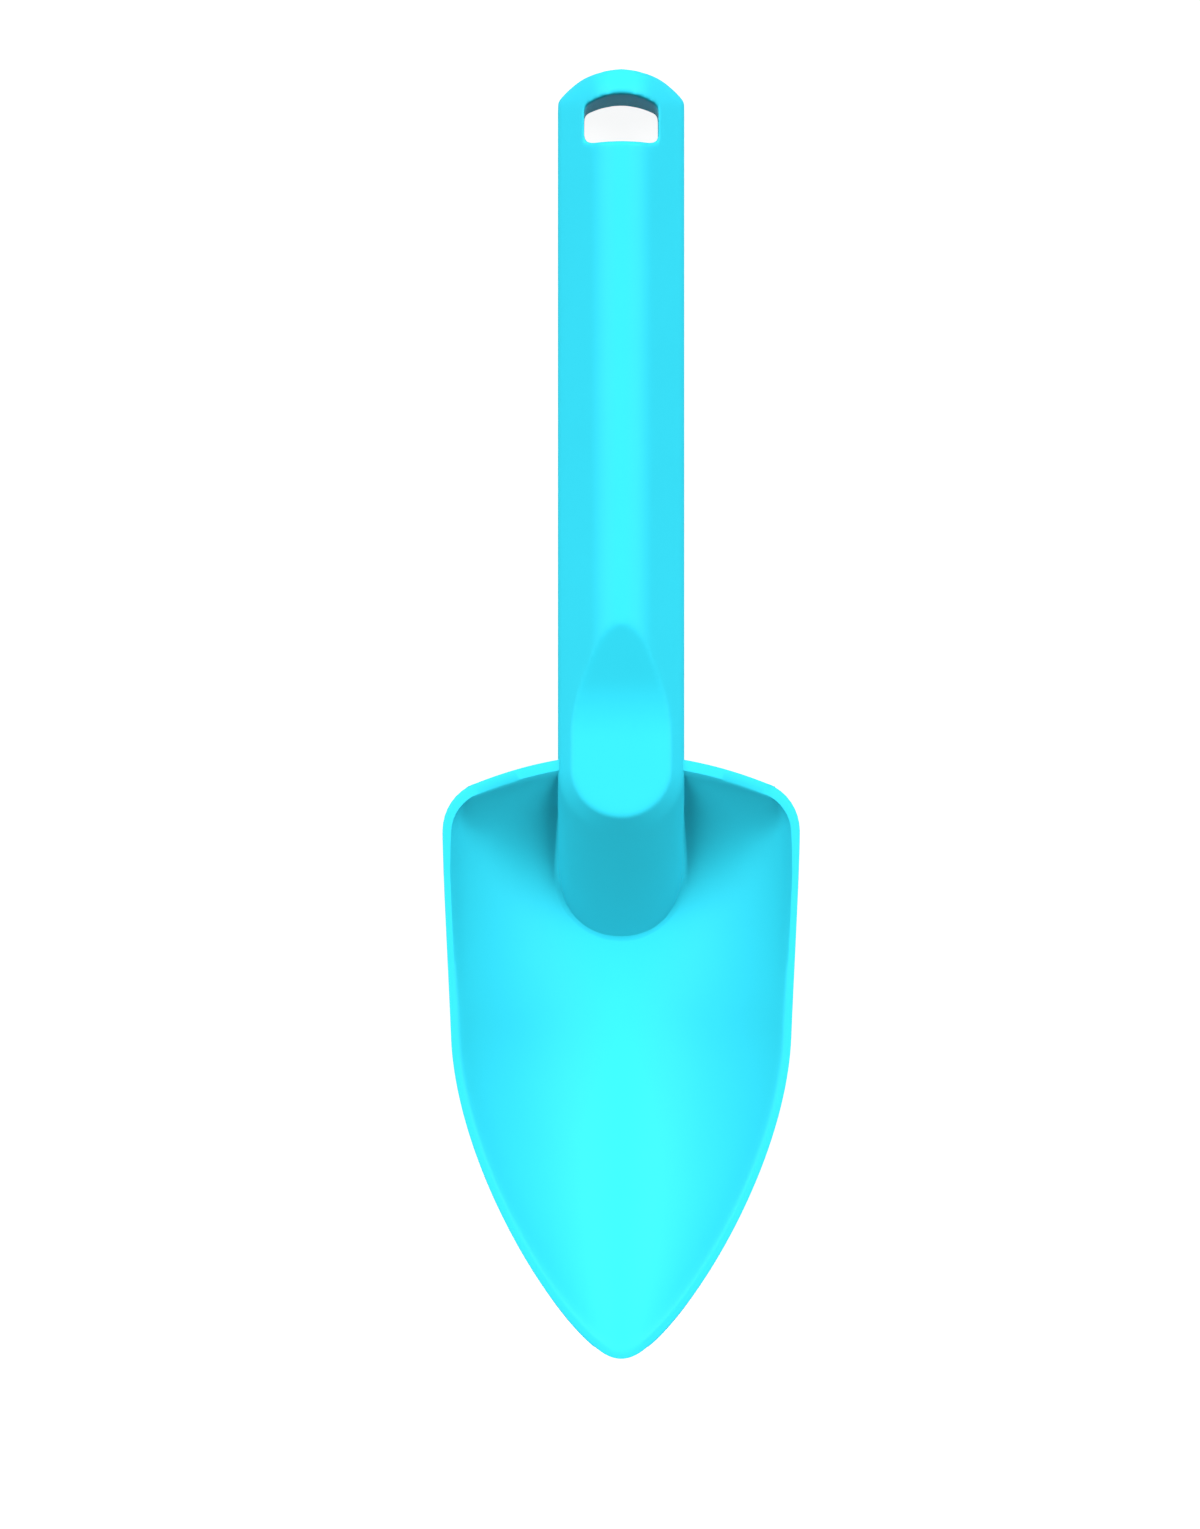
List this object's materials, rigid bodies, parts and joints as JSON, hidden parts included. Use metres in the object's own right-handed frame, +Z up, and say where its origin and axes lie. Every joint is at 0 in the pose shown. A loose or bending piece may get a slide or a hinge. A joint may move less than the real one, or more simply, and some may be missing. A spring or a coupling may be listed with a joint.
{
  "type": "sand shovel",
  "caption": "Child's moulded hand spade for sand, with a dished pointed blade, a channel handle with thumb rest and a hanging slot.",
  "frame": {"origin": "on the ground under the middle of the spade, which lies on its back", "axes": "+X across the blade, +Y from the tip to the handle's end, +Z up, out of the scoop"},
  "size_m": [0.0732, 0.2636, 0.0281],
  "materials": {
    "moulded_plastic": "satin moulded polypropylene, bright cyan"
  },
  "bodies": {
    "root": {"blade": "moulded_plastic", "handle": "moulded_plastic"}
  },
  "joints": []
}
